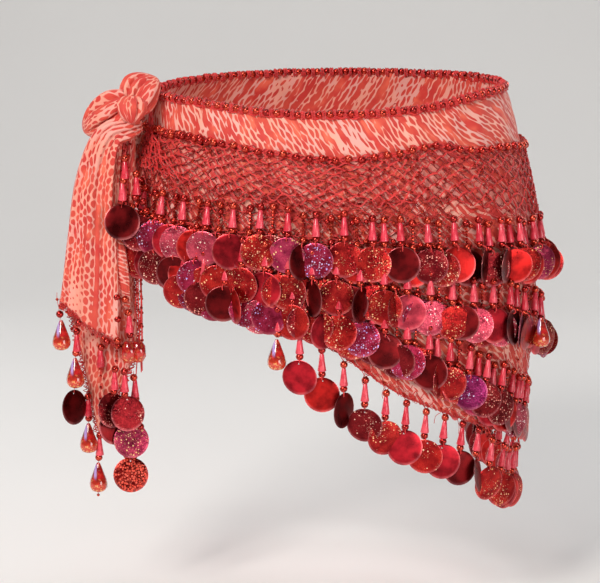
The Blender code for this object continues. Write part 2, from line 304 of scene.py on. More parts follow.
def lengths_along(path):
    """Distance of each point of a path from its start."""
    return np.concatenate([[0.0], np.cumsum(np.linalg.norm(np.diff(path, axis=0), axis=1))])


ARC_ANGLES = np.linspace(-180, 180, 1441)
ARC_LENGTHS = lengths_along(hip(ARC_ANGLES, -0.10))
ARC_LENGTHS -= np.interp(0.0, ARC_ANGLES, ARC_LENGTHS)


def angle_at(arc):
    """Angle at a distance round the hips from the triangle's point."""
    return np.interp(arc, ARC_LENGTHS, ARC_ANGLES)


def arc_at(angle):
    return np.interp(angle, ARC_ANGLES, ARC_LENGTHS)


def even_angles(first, last, spacing):
    """Angles evenly spaced round the hips between two angles."""
    start, stop = arc_at(first), arc_at(last)
    return angle_at(np.linspace(start, stop, max(2, round((stop - start) / spacing) + 1)))


def wander(length, size, scale):
    """Gentle irregularity along a thread: a few waves of random phase."""
    waves = zip((1.0, 0.61, 0.37, 0.23), RANDOM.uniform(0, math.tau, 4))
    return size * sum(part * np.sin(math.tau * length / (scale * part) + phase) for part, phase in waves)


# ---------------------------------------------------------------- meshes

class Batch:
    """Many small shapes in one mesh, each with its grain coordinates, tint and flash colour."""

    def __init__(self):
        self.points, self.faces, self.grains, self.tints, self.flashes = [], [], [], [], []
        self.total = 0

    def add(self, points, faces, grain, tint=(1, 1, 1), flash=(1, 1, 1)):
        points = points.reshape(-1, 3)
        self.points.append(points)
        self.grains.append(grain.reshape(-1, 3))
        self.tints.append(np.broadcast_to(tint, points.shape))
        self.flashes.append(np.broadcast_to(flash, points.shape))
        self.faces += [block + self.total for block in faces]
        self.total += len(points)

    def build(self, name, look, replaces=()):
        mesh = bpy.data.meshes.new(name)
        points = np.concatenate(self.points)
        mesh.from_pydata(points.tolist(), [], [face for block in self.faces for face in block.tolist()])
        for label, values in (("tint", self.tints), ("flash", self.flashes)):
            colours = np.ones((len(points), 4))
            colours[:, :3] = np.concatenate(values)
            mesh.attributes.new(label, "FLOAT_COLOR", "POINT").data.foreach_set("color", colours.ravel())
        grain = mesh.attributes.new("grain", "FLOAT_VECTOR", "POINT")
        grain.data.foreach_set("vector", np.concatenate(self.grains).ravel())
        mesh.shade_smooth()
        mesh.set_sharp_from_angle(angle=math.radians(40))
        add_piece(name, mesh, look, replaces)


def add_piece(name, mesh, look, replaces):
    """Object that rides on the scarf, with the material of its look, in place of the nodes it stands for."""
    material, slot = look
    piece = bpy.data.objects.new(name, mesh)
    bpy.context.scene.collection.objects.link(piece)
    mesh.materials.append(material)
    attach(piece, BODY)
    if replaces:
        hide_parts(*replaces)
    return piece


def cloth_piece(name, points, printed, look, replaces=(), thickness=0.8 * MM):
    """Thin shell of chiffon from a (rows, columns, 3) grid, with its print coordinates."""
    index = np.arange(points[..., 0].size).reshape(points.shape[:2])
    faces = np.stack([index[:-1, :-1], index[1:, :-1], index[1:, 1:], index[:-1, 1:]], axis=-1)
    mesh = bpy.data.meshes.new(name)
    mesh.from_pydata(points.reshape(-1, 3).tolist(), [], faces.reshape(-1, 4).tolist())
    printed = np.pad(printed, ((0, 0), (0, 0), (0, 1)))
    mesh.attributes.new("print", "FLOAT_VECTOR", "POINT").data.foreach_set("vector", printed.ravel())
    mesh.shade_smooth()
    piece = add_piece(name, mesh, look, replaces)
    shell = piece.modifiers.new("thickness", "SOLIDIFY")
    shell.thickness = thickness
    shell.offset = 0.0
    return piece


def lathe(profile, sides):
    """Turned shape about Z from (radius, height) pairs. Zero radius makes a pole."""
    points, rings, faces = [], [], []
    for radius, height in profile:
        turns = np.linspace(0, math.tau, sides if radius else 1, endpoint=False)
        rings.append(len(points) + np.arange(sides) % len(turns))
        points += [(radius * math.cos(t), radius * math.sin(t), height) for t in turns]
    for upper, lower in zip(rings, rings[1:]):
        corners = np.stack([upper, lower, np.roll(lower, -1), np.roll(upper, -1)], axis=-1)
        faces += [list(dict.fromkeys(face)) for face in corners.tolist()]
    return np.array(points), [np.array([face for face in faces if len(face) == n]) for n in (3, 4)]


def ball(radius, sides, rings):
    """Round bead about the origin."""
    turns = np.linspace(0, math.pi, rings + 1)[1:-1]
    middle = [(radius * math.sin(t), radius * math.cos(t)) for t in turns]
    return lathe([(0, radius), *middle, (0, -radius)], sides)


def place(batch, shape, origin, axes=np.eye(3), shift=0.0, **colours):
    """Copy of a shape with its own X, Y and Z along the three given directions."""
    points, faces = shape
    batch.add(points @ axes + origin, faces, points + shift, **colours)


def tube(batch, path, radius, sides=3, reference=None, tint=(1, 1, 1)):
    """Round thread along a path."""
    tangent = unit(np.gradient(path, axis=0) + 1e-9)
    if reference is None:
        reference = unit(path * (1, 1, 0) + 1e-9)
    side = unit(np.cross(tangent, np.broadcast_to(reference, path.shape)) + 1e-9)
    lift = np.cross(side, tangent)
    turns = np.linspace(0, math.tau, sides, endpoint=False)[:, None]
    rings = path[:, None] + radius * (np.cos(turns) * side[:, None] + np.sin(turns) * lift[:, None])
    ring = np.arange(sides)
    after = (ring + 1) % sides
    row = np.arange(len(path) - 1)[:, None] * sides
    walls = np.stack([row + ring, row + after, row + sides + after, row + sides + ring], axis=-1)
    caps = np.stack([ring[::-1], (len(path) - 1) * sides + ring])
    grain = np.zeros(rings.shape)
    grain[..., 0] = lengths_along(path)[:, None]
    grain[..., 1] = turns[:, 0] * radius
    batch.add(rings, (walls.reshape(-1, 4), caps), grain, tint)


# ---------------------------------------------------------------- materials

class Nodes:
    """Short way to wire one material. Inputs are given by name or number."""

    def __init__(self, name):
        self.material = bpy.data.materials.new(name)
        self.material.use_nodes = True
        self.tree = self.material.node_tree

    def feed(self, socket, value):
        if isinstance(value, bpy.types.NodeSocket):
            self.tree.links.new(value, socket)
        else:
            socket.default_value = value

    def add(self, kind, inputs=(), output=0, **settings):
        made = self.tree.nodes.new(kind)
        for key, value in settings.items():
            setattr(made, key, value)
        for key, value in dict(inputs).items():
            self.feed(made.inputs[key], value)
        return made.outputs[output]

    def attribute(self, name, output="Vector"):
        return self.add("ShaderNodeAttribute", output=output, attribute_name=name)

    def maths(self, operation, *values):
        return self.add("ShaderNodeMath", enumerate(values), operation=operation)

    def times(self, one, two):
        return self.maths("MULTIPLY", one, two)

    def vector(self, operation, *values):
        return self.add("ShaderNodeVectorMath", enumerate(values), operation=operation)

    def noise(self, vector, scale, detail=2.0, output="Fac"):
        return self.add("ShaderNodeTexNoise", {"Vector": vector, "Scale": scale, "Detail": detail}, output)

    def cells(self, vector, scale, randomness=0.9):
        """Distance from the middle of the nearest cell, and the cell's random colour."""
        inputs = {"Vector": vector, "Scale": scale, "Randomness": randomness}
        distance = self.add("ShaderNodeTexVoronoi", inputs, "Distance")
        return distance, distance.node.outputs["Color"]

    def waves(self, vector, scale, distortion, **settings):
        inputs = {"Vector": vector, "Scale": scale, "Distortion": distortion}
        return self.add("ShaderNodeTexWave", inputs, "Fac", **settings)

    def channels(self, colour):
        """Red, green and blue."""
        return self.add("ShaderNodeSeparateColor", {"Color": colour}).node.outputs

    def parts(self, vector):
        """X, Y and Z."""
        return self.add("ShaderNodeSeparateXYZ", {"Vector": vector}).node.outputs

    def steps(self, value, low, high, to_low=0.0, to_high=1.0):
        """Smooth step of a value between two limits."""
        inputs = enumerate((value, low, high, to_low, to_high))
        return self.add("ShaderNodeMapRange", inputs, interpolation_type="SMOOTHSTEP")

    def mix(self, share, one, two, blend="MIX"):
        one, two = ((*item, 1.0) if isinstance(item, tuple) else item for item in (one, two))
        inputs = {0: share, 6: one, 7: two}
        return self.add("ShaderNodeMix", inputs, 2, data_type="RGBA", blend_type=blend)

    def bump(self, height, strength, distance):
        inputs = {"Height": height, "Strength": strength, "Distance": distance}
        return self.add("ShaderNodeBump", inputs)

    def finish(self, **sockets):
        for key, value in sockets.items():
            self.feed(self.tree.nodes["Principled BSDF"].inputs[key.replace("_", " ")], value)
        return self.material


def chiffon_material(name, cell, cluster, bar, spread, fade):
    """Coral chiffon: staggered long coral cells in a peach network, with peach and coral bars.

    Cell, cluster and bar are sizes across and along the strokes. Spread is how far the cells reach
    past their clusters, fade how far the peach turns to coral.
    """
    n = Nodes(name)
    place = n.attribute("print")
    warped = place
    for scale, detail, reach in ((32.0, 1.0, (0.0070, 0.0220, 0.0)), (190.0, 0.0, (0.0016, 0.0040, 0.0))):
        drift = n.vector("SUBTRACT", n.noise(place, scale, detail, "Color"), (0.5, 0.5, 0.5))
        warped = n.vector("ADD", warped, n.vector("MULTIPLY", drift, reach))
    turns = n.vector("MULTIPLY", warped, (math.tau / cell[0], math.tau / cell[1], 0.0))
    across, along, _ = n.parts(turns)
    columns = n.maths("COSINE", n.times(across, 2.0))
    checks = n.times(n.maths("COSINE", across), n.maths("COSINE", along))
    groups = n.noise(n.vector("DIVIDE", warped, (*cluster, 1.0)), 1.0, 1.0)
    bars = n.noise(n.vector("DIVIDE", place, (*bar, 1.0)), 1.0, 0.0)
    streaky = n.steps(n.noise(place, 55.0, 0.0), 0.35, 0.65, 1.0, 1.5)
    cells = n.maths("MULTIPLY_ADD", columns, streaky, n.times(checks, 2.0))
    inside = n.steps(groups, 0.32, 0.48)
    level = n.maths("MULTIPLY_ADD", inside, 1.20 - spread, spread - 1.75)
    level = n.maths("MULTIPLY_ADD", n.steps(bars, 0.61, 0.67), 2.6, level)
    level = n.maths("MULTIPLY_ADD", n.steps(bars, 0.40 - spread / 12, 0.35 - spread / 12), -3.0, level)
    pale_share = n.steps(n.maths("SUBTRACT", level, cells), -0.46, 0.46)
    tone = n.noise(place, 60.0, 2.0)
    coral = n.mix(n.steps(tone, 0.34, 0.66), (0.64, 0.040, 0.030), (0.84, 0.150, 0.085))
    coral = n.mix(n.times(inside, 0.6), coral, (0.56, 0.026, 0.022))
    peach = n.mix(n.steps(n.noise(place, 34.0, 1.0), 0.4, 0.62), (0.85, 0.39, 0.30), (0.79, 0.40, 0.35))
    peach = n.mix(fade, peach, (0.82, 0.115, 0.055))
    # Under the net the peach is darkened towards red: painted shade and red bounce light from the net.
    peach = n.mix(n.times(n.attribute("under_net", "Fac"), 0.45), peach, (0.66, 0.060, 0.050))
    crinkle = n.noise(n.vector("MULTIPLY", place, (260.0, 60.0, 1.0)), 1.0, 3.0)
    grain = n.maths("MULTIPLY_ADD", n.waves(place, 420.0, 1.5), 0.25, crinkle)
    rough = n.steps(tone, 0.3, 0.7, 0.62, 0.78)
    return n.finish(Base_Color=n.mix(pale_share, coral, peach), Roughness=rough,
                    Normal=n.bump(grain, 0.35, 0.0006), Sheen_Weight=0.12, Sheen_Roughness=0.4)


def thread_material():
    """Red crochet thread, twisted and slightly fuzzy."""
    n = Nodes("crochet_thread")
    place = n.attribute("grain")
    twist = n.waves(place, 260.0, 2.0, bands_direction="DIAGONAL")
    shade = n.noise(place, 160.0)
    red = n.mix(n.steps(shade, 0.3, 0.7), (0.50, 0.012, 0.016), (0.74, 0.040, 0.036))
    tinted = n.mix(1.0, red, n.attribute("tint", "Color"), "MULTIPLY")
    return n.finish(Base_Color=tinted, Roughness=n.steps(shade, 0.3, 0.7, 0.55, 0.75),
                    Normal=n.bump(twist, 0.5, 0.0003), Sheen_Weight=0.3, Sheen_Roughness=0.35)


def clouded_material(name, scale, shade, rough, bump, **constants):
    """Tinted surface with clouds of a darker shade. Rough has the roughness of shade and of tint."""
    n = Nodes(name)
    cloud = n.noise(n.attribute("grain"), scale)
    tint = n.attribute("tint", "Color")
    colour = n.mix(n.steps(cloud, 0.3, 0.7), n.mix(1.0, tint, shade, "MULTIPLY"), tint)
    return n.finish(Base_Color=colour, Roughness=n.steps(cloud, 0.3, 0.7, *rough),
                    Normal=n.bump(cloud, *bump), **constants)


def paillette_material():
    """Film discs. A black flash colour means satin film, any other is the colour of its glitter.

    Red glitter, whose flash has little green, is dense.
    """
    n = Nodes("paillette_film")
    place = n.attribute("grain")
    tint, flash = n.attribute("tint", "Color"), n.attribute("flash", "Color")
    flash_red, flash_green, _ = n.channels(flash)
    has_glitter = n.steps(flash_red, 0.02, 0.04)
    dense = n.steps(flash_green, 0.10, 0.14, 0.45, 0.0)
    zone = n.noise(place, 62.0, 0.0)

    def flecks(scale, least, radius):
        """Bright dots, one to a cell, in those cells whose chance beats the zone's: glitter painted bright
        as glints.
        """
        distance, colour = n.cells(place, scale)
        chance = n.channels(colour)
        needed = n.maths("SUBTRACT", n.steps(zone, 0.36, 0.60, 0.97, least), dense)
        lit = n.maths("GREATER_THAN", chance["Red"], needed)
        size = n.maths("MULTIPLY_ADD", dense, 0.35, n.maths("MULTIPLY_ADD", chance["Green"], 0.12, radius))
        return n.times(lit, n.steps(n.maths("SUBTRACT", distance, size), -0.05, 0.05, 1.0, 0.0)), chance

    large, chance = flecks(500.0, 0.60, 0.24)
    small, _ = flecks(1100.0, 0.62, 0.24)
    shine = n.times(n.maths("MAXIMUM", large, n.times(small, 0.55)), has_glitter)
    cloud = n.noise(place, 90.0, 3.0)
    _, grit = n.cells(place, 1500.0, 1.0)
    # deep and glow, mixed by the clouds below, are the dark and light ends of painted reflection streaks on
    # the film.
    deep = n.mix(1.0, tint, (0.42, 0.34, 0.40), "MULTIPLY")
    glow = n.mix(n.times(has_glitter, 0.035), tint, flash)
    film = n.mix(n.steps(cloud, 0.34, 0.66), deep, glow)
    speckle = n.mix(n.times(n.times(has_glitter, 0.6), n.channels(grit)["Green"]), film, deep)
    warm = n.times(chance["Blue"], n.steps(dense, 0.10, 0.40, 0.7, 0.12))
    # Flecks in the glitter's colour, some turned near white, and made less metallic below: painted glints.
    colour = n.mix(shine, speckle, n.mix(warm, flash, (1.0, 0.74, 0.56)))
    tilt = n.vector("SUBTRACT", grit, (0.5, 0.5, 0.5))
    amount = n.maths("MULTIPLY_ADD", has_glitter, 0.24, 0.03)
    tilt = n.add("ShaderNodeVectorMath", {0: tilt, "Scale": amount}, operation="SCALE")
    facing = n.vector("ADD", n.add("ShaderNodeNewGeometry", output="Normal"), tilt)
    return n.finish(Base_Color=colour, Metallic=n.steps(shine, 0.0, 1.0, 0.88, 0.30),
                    Roughness=n.steps(cloud, 0.3, 0.7, 0.26, 0.40), Normal=n.vector("NORMALIZE", facing))


def crystal_material():
    """Faceted crimson glass with a painted lilac highlight down its upper left and a painted orange glow
    with glints at its foot.
    """
    n = Nodes("crystal_drop")
    place = n.attribute("grain")
    x, _, z = n.parts(place)
    # A painted lilac highlight in a narrow band left of the middle, over the upper part.
    middle = n.steps(n.maths("ABSOLUTE", n.maths("ADD", x, 0.0024)), 0.0007, 0.0016, 1.0, 0.0)
    painted_lilac_highlight = n.times(n.times(middle, n.steps(z, -0.002, 0.003)), 0.85)
    # Towards the foot: a painted orange glow and painted glints.
    foot = n.steps(z, 0.002, -0.009)
    shade = n.noise(place, 170.0)
    red = n.mix(n.steps(shade, 0.36, 0.62), (0.24, 0.003, 0.006), (0.62, 0.012, 0.014))
    glow = n.mix(n.times(foot, 0.55), red, (0.90, 0.085, 0.020))
    _, colour = n.cells(place, 620.0)
    lit = n.steps(n.channels(colour)["Red"], 0.74, 0.84)
    spark = n.times(lit, n.maths("MULTIPLY_ADD", foot, 0.70, 0.12))
    warm = n.mix(spark, glow, (1.0, 0.50, 0.16))
    return n.finish(Base_Color=n.mix(painted_lilac_highlight, warm, (0.62, 0.45, 0.95)), Roughness=0.08,
                    Transmission_Weight=0.15, Coat_Weight=0.7, Coat_Roughness=0.03,
                    Normal=n.bump(shade, 0.10, 0.0005))


# Looks: a material and its slot.
CHIFFON = chiffon_material(
    "printed_chiffon", (0.0072, 0.0135), (0.010, 0.040), (0.0062, 0.070), 0.15, 0.0), "chiffon"
# The knot's chiffon has its peach turned partly to coral: painted shade for the shadows among the knot's
# folds.
KNOT_CHIFFON = chiffon_material(
    "printed_chiffon_knot", (0.0066, 0.0115), (0.010, 0.040), (0.0062, 0.070), -0.12, 0.24), "chiffon"
TAIL_CHIFFON = chiffon_material(
    "printed_chiffon_tail", (0.0056, 0.0084), (0.011, 0.040), (0.0060, 0.070), 0.60, 0.20), "chiffon"
THREAD = thread_material(), "crochet_thread"
BEAD = clouded_material(
    "metallic_bead", 420.0, (0.55, 0.40, 0.40), (0.20, 0.32), (0.12, 0.0003),
    Metallic=0.85, Coat_Weight=0.25, Coat_Roughness=0.10), "metallic_beads"
CONE = clouded_material(
    "satin_cone", 260.0, (0.78, 0.62, 0.66), (0.24, 0.36), (0.10, 0.0004),
    Coat_Weight=0.25, Coat_Roughness=0.2), "cone_beads"
FILM = paillette_material(), "paillettes"
CRYSTAL = crystal_material(), "crystal_drops"

BEAD_TINTS = ((0.62, 0.040, 0.024), (0.50, 0.022, 0.018), (0.70, 0.070, 0.034))
CONE_TINTS = ((0.82, 0.050, 0.090), (0.72, 0.030, 0.058), (0.86, 0.080, 0.118))
# Paillette films: a name, how common it is, its tint, and the flash of its glitter (black: none).
FILMS = (
    ("crimson_satin", 14, (0.52, 0.014, 0.026), (0, 0, 0)),
    ("scarlet_satin", 12, (0.62, 0.017, 0.015), (0, 0, 0)),
    ("scarlet_gold", 22, (0.62, 0.015, 0.017), (1.0, 0.40, 0.14)),
    ("ruby_gold", 16, (0.52, 0.011, 0.016), (1.0, 0.42, 0.16)),
    ("magenta_lilac", 10, (0.50, 0.016, 0.056), (0.46, 0.36, 1.0)),
    ("pink_glitter", 5, (0.72, 0.070, 0.120), (1.0, 0.66, 0.70)),
    # The wine films are darker copies of the red films: partly painted shade, for discs that hang in shadow
    # and nearly edge on.
    ("shaded_wine_glitter", 11, (0.27, 0.006, 0.012), (0.98, 0.22, 0.18)),
    ("shaded_wine_satin", 10, (0.19, 0.005, 0.007), (0, 0, 0)),
    ("magenta_gold", 0, (0.62, 0.040, 0.130), (1.0, 0.62, 0.20)),
    ("scarlet_dark", 0, (0.24, 0.005, 0.006), (0.86, 0.060, 0.030)),
    ("pink_satin", 0, (0.80, 0.075, 0.115), (0, 0, 0)),
    ("violet_lilac", 1, (0.30, 0.010, 0.095), (0.50, 0.46, 1.0)),
)
# Films of the front dangles from the knot round the front to the triangle's point, by their
# letters in FILM_CODES. A small letter is a paillette turned nearly edge on, T is a drop.
FILM_CODES = "CSGRMPDWQXKV"
FRONT_FILMS = {
    "tier_1": "DWMPPCGQMRGWDSwwGQS",
    "tier_2": "RDWMGRCRwRwGKPGPCwsTR",
    "tier_3": "RDWMMGGGMWMWRVDDwwr",
    "tier_4": "TCSwDRCGCWwGGS",
}
FILM_NAMES = [row[0] for row in FILMS]
FILM_SHARES = np.array([row[1] for row in FILMS], float) / sum(row[1] for row in FILMS)


# ---------------------------------------------------------------- small shapes

BEAD_SHAPE = ball(BEAD_RADIUS, 10, 6)
SEED_SHAPE = ball(SEED_RADIUS, 6, 4)
SMALL_SHAPE = ball(SMALL_RADIUS, 8, 5)
CONE_SHAPE = lathe([(radius, height * CONE_LENGTH) for radius, height in (
    (0, 0.50), (CONE_TOP * 0.7, 0.50), (CONE_TOP, 0.46), (CONE_TOP * 0.45 + CONE_FOOT * 0.55, -0.10),
    (CONE_FOOT, -0.45), (CONE_FOOT * 0.96, -0.50), (CONE_FOOT * 0.55, -0.47), (0, -0.47),
)], 14)
# A drop has a pointed top, a round foot and flat facets.
DROP_SHAPE = lathe([(radius * DROP_RADIUS, height * DROP_LENGTH) for radius, height in (
    (0, 0.50), (0.16, 0.49), (0.34, 0.38), (0.60, 0.16), (0.88, -0.06),
    (1.00, -0.22), (0.97, -0.34), (0.76, -0.44), (0.42, -0.49), (0, -0.50),
)], 10)
STONE_SHAPE = lathe([
    (0, 0.0098), (0.0036, 0.0090), (0.0064, 0.0050), (0.0068, -0.0040), (0.0044, -0.0086), (0, -0.0098),
], 8)


def paillette_shape():
    """Cupped disc that faces +Z, with the hole it hangs by near its top, and which points are rim."""
    dome, half_thickness, rim_share, sides = 0.0009, 0.00022, 0.3, 28
    hole_radius, hole_drop = 0.0006, 0.0030
    turns = np.linspace(0, math.tau, sides, endpoint=False)
    ring = np.stack([np.cos(turns), np.sin(turns)], axis=-1)
    hole = ring * hole_radius + np.array([0.0, PAILLETTE_RADIUS - hole_drop])
    shares = (0.0, 0.50, 0.90, 1.0)
    layers = []
    for side, run in ((1, shares), (-1, shares[::-1])):
        for share in run:
            flat = hole * (1 - share) + ring * PAILLETTE_RADIUS * share
            bulge = dome * (1 - (flat ** 2).sum(axis=1) / PAILLETTE_RADIUS ** 2)
            lift = side * half_thickness * (rim_share if share == 1.0 else 1.0)
            layers.append(np.column_stack([flat, bulge + lift]))
    points = np.concatenate(layers)
    upper = np.arange(len(layers))[:, None] * sides + np.arange(sides)
    lower = np.roll(upper, -1, axis=0)
    quads = np.stack([upper, lower, np.roll(lower, -1, axis=1), np.roll(upper, -1, axis=1)], axis=-1)
    rim = np.hypot(points[:, 0], points[:, 1]) > PAILLETTE_RADIUS * 0.999
    return (points, [quads.reshape(-1, 4)]), rim


PAILLETTE_SHAPE, PAILLETTE_RIM = paillette_shape()


def pick(choices):
    return choices[RANDOM.integers(len(choices))]


def add_bead(batch, shape, at, axes=np.eye(3), tints=BEAD_TINTS):
    place(batch, shape, at, axes, tint=pick(tints), shift=RANDOM.random(3))


def upright_axes(across, down=DOWN):
    """Axes for a shape turned about Z: Z goes up the strand, X lies level."""
    up = unit(-down)
    x = unit(across - up * np.dot(across, up))
    return np.array([x, np.cross(up, x), up])


def disc_axes(along, out, yaw, pitch, roll):
    """Axes for a paillette: its own Z faces out, turned about the upright by yaw."""
    face = unit(out * math.cos(yaw) + along * math.sin(yaw) + UP * math.sin(pitch))
    up = unit(UP - face * np.dot(UP, face))
    x = np.cross(up, face)
    x, up = x * math.cos(roll) + up * math.sin(roll), up * math.cos(roll) - x * math.sin(roll)
    return np.array([x, up, face])


class Fringe:
    """The beads, cones, paillettes, drops and threads of one group of dangles."""

    def __init__(self):
        self.beads, self.cones, self.discs, self.threads, self.drops = (Batch() for _ in range(5))

    def bead(self, at, across, down=DOWN, shape=BEAD_SHAPE):
        add_bead(self.beads, shape, at, upright_axes(across, down))

    def cone(self, at, across, down=DOWN):
        add_bead(self.cones, CONE_SHAPE, at, upright_axes(across, down), CONE_TINTS)

    def disc(self, centre, along, out, yaw, film, sway=1.0, nod=0.0):
        """Paillette of a film, tilted at random by sway, whose rim is paler by a painted highlight."""
        _, _, tint, flash = FILMS[film]
        # The film's tint, with a painted highlight added on the rim.
        tint = np.array(tint) * RANDOM.uniform(0.85, 1.15) + PAILLETTE_RIM[:, None] * PAINTED_RIM_HIGHLIGHT
        pitch, roll = RANDOM.normal(0, (0.06, 0.10)) * sway
        place(self.discs, PAILLETTE_SHAPE, centre, disc_axes(along, out, yaw, pitch + nod, roll),
              tint=tint, flash=flash, shift=(0, 0, RANDOM.integers(1, 400) * 0.037))

    def drop(self, at):
        place(self.drops, DROP_SHAPE, at)

    def thread(self, points, radius=0.00026):
        tube(self.threads, points, radius, reference=(0.3, -0.9, 0.2))

    def build(self, name, replaces):
        """The pieces of the group. The first one stands for its CAD node."""
        for batch, part, look in (
            (self.discs, "paillettes", FILM), (self.cones, "cones", CONE), (self.beads, "beads", BEAD),
            (self.drops, "drops", CRYSTAL), (self.threads, "threads", THREAD),
        ):
            if batch.total:
                batch.build(f"{name}_{part}", look, replaces)
                replaces = ()


def hip_dangle(fringe, angle, height, out, film, yaw, looseness, seeds=False, drop=False, edge_on=False):
    """Bead, cone, bead and paillette hanging down the scarf from a first bead.

    Looseness is how far the paillette turns from straight out of the hips to straight ahead, or to
    straight back behind.
    """
    along, outward = along_and_out(angle, height)
    point = hip(angle, height, out)
    facing = AHEAD if angle >= 0 else -AHEAD
    front_turn = math.atan2(facing @ along, max(facing @ outward, 0.05))
    yaw = yaw + looseness * front_turn
    if edge_on:
        yaw = front_turn - math.copysign(RANDOM.uniform(1.10, 1.32), front_turn)
    most = MOST_TURN if abs(math.sin(math.radians(angle))) > 0.7 else MOST_TURN_AT_SIDES
    yaw = min(max(yaw, -most), most)
    down = unit(hip(angle, height - 0.02, out) - point)
    fringe.bead(point, along, down)
    overlap = 0.0006
    cone_drop = BEAD_RADIUS + CONE_LENGTH / 2 - overlap
    if seeds:
        for step in range(SEEDS_FOR_CONE):
            at = point + down * (BEAD_RADIUS + SEED_RADIUS * (2 * step + 1))
            fringe.bead(at, along, down, SEED_SHAPE)
    else:
        fringe.cone(point + down * cone_drop, along, down)
    second_drop = cone_drop + CONE_LENGTH / 2 + BEAD_RADIUS - overlap
    second = hip(angle, height - second_drop, out)
    fringe.bead(second, along, down)
    if drop:
        fringe.drop(second - UP * (DROP_LENGTH / 2 + BEAD_RADIUS) + outward * 0.006)
        return
    centre_drop = second_drop + BEAD_RADIUS + PAILLETTE_RADIUS - 2 * overlap
    lean = 0.0015 + PAILLETTE_RADIUS * 0.35 * abs(math.sin(yaw))
    centre = hip(angle, height - centre_drop, out + lean)
    fringe.disc(centre, along, outward, yaw, film)
    hole = centre + UP * (PAILLETTE_RADIUS - 0.0028)
    rim = hole + UP * 0.0034
    front = outward * 0.0014
    loop = (second, rim + front, hole + front, hole - front, rim - front, second)
    fringe.thread(catmull(loop, 10), 0.0005)


# ---------------------------------------------------------------- the stage

def link_object(name, data):
    made = bpy.data.objects.new(name, data)
    bpy.context.scene.collection.objects.link(made)
    return made


def build_backdrop():
    """Pale floor that curves up into a wall behind the scarf."""
    floor = CAD_BOX[0][2] - FLOOR_DROP
    depth, height, bend, half_width = 2.2, 4.6, 0.9, 14.0
    profile = [(-half_width, floor), (-1.0, floor), (depth - bend, floor)]
    for turn in np.linspace(0, math.pi / 2, 12)[1:]:
        profile.append((depth - bend + bend * math.sin(turn), floor + bend - bend * math.cos(turn)))
    profile.append((depth, floor + height))
    mesh = bpy.data.meshes.new("backdrop")
    points = [(x, y, z) for y, z in profile for x in (-half_width, half_width)]
    faces = [(2 * i, 2 * i + 1, 2 * i + 3, 2 * i + 2) for i in range(len(profile) - 1)]
    mesh.from_pydata(points, [], faces)
    mesh.shade_smooth()
    n = Nodes("pale_floor")
    cloud = n.noise(n.add("ShaderNodeTexCoord", output="Object"), 3.0)
    mesh.materials.append(n.finish(Base_Color=n.mix(cloud, (0.8064, 0.8016, 0.7968), (0.84, 0.835, 0.83)),
                                   Roughness=0.8))
    link_object("backdrop", mesh)


def build_lights():
    """Soft lamps aimed at the scarf's middle, in a dim pale room."""
    for name, location, size, power, colour in (
        ("key", (-0.9, -1.6, 1.0), (0.6, 0.6), 32.5, (1.0, 0.95, 0.89)),
        ("fill", (1.2, -1.7, -0.30), (1.0, 0.9), 19, (1.0, 0.96, 0.93)),
        ("rim_left", (-1.4, 0.9, 0.6), (0.5, 1.2), 10, (1, 1, 1)),
        ("rim_right", (1.4, 1.0, 0.7), (0.5, 1.2), 10, (1, 1, 1)),
        ("overhead", (0.0, -0.2, 1.7), (1.2, 0.9), 10, (1, 1, 1)),
    ):
        light = bpy.data.lights.new(name, "AREA")
        light.shape = "RECTANGLE"
        light.size, light.size_y = size
        light.energy = power
        light.color = colour
        lamp = link_object(name, light)
        lamp.location = location
        lamp.rotation_euler = (Vector((0, 0, -0.18)) - Vector(location)).to_track_quat("-Z", "Y").to_euler()
    world = bpy.data.worlds.new("studio")
    world.use_nodes = True
    world.node_tree.nodes["Background"].inputs["Color"].default_value = (0.95, 0.94, 0.93, 1.0)
    world.node_tree.nodes["Background"].inputs["Strength"].default_value = 0.17
    bpy.context.scene.world = world
    bpy.context.scene.view_settings.view_transform = "Standard"


def build_camera():
    camera_data = bpy.data.cameras.new("camera")
    camera_data.lens = CAMERA_LENS
    camera_data.clip_end = 50.0
    camera = link_object("camera", camera_data)
    back = Vector((0.0, -math.cos(CAMERA_ELEVATION), math.sin(CAMERA_ELEVATION)))
    camera.location = Vector(CAMERA_TARGET) + back * CAMERA_DISTANCE
    camera.rotation_euler = (-back).to_track_quat("-Z", "Y").to_euler()
    bpy.context.scene.camera = camera


# ---------------------------------------------------------------- the wrap

def print_turn(across, along, degrees):
    """Print coordinates turned so that the strokes lean by an angle from the upright."""
    turn = math.radians(degrees)
    return np.stack([across * math.cos(turn) + along * math.sin(turn),
                     along * math.cos(turn) - across * math.sin(turn)], axis=-1)


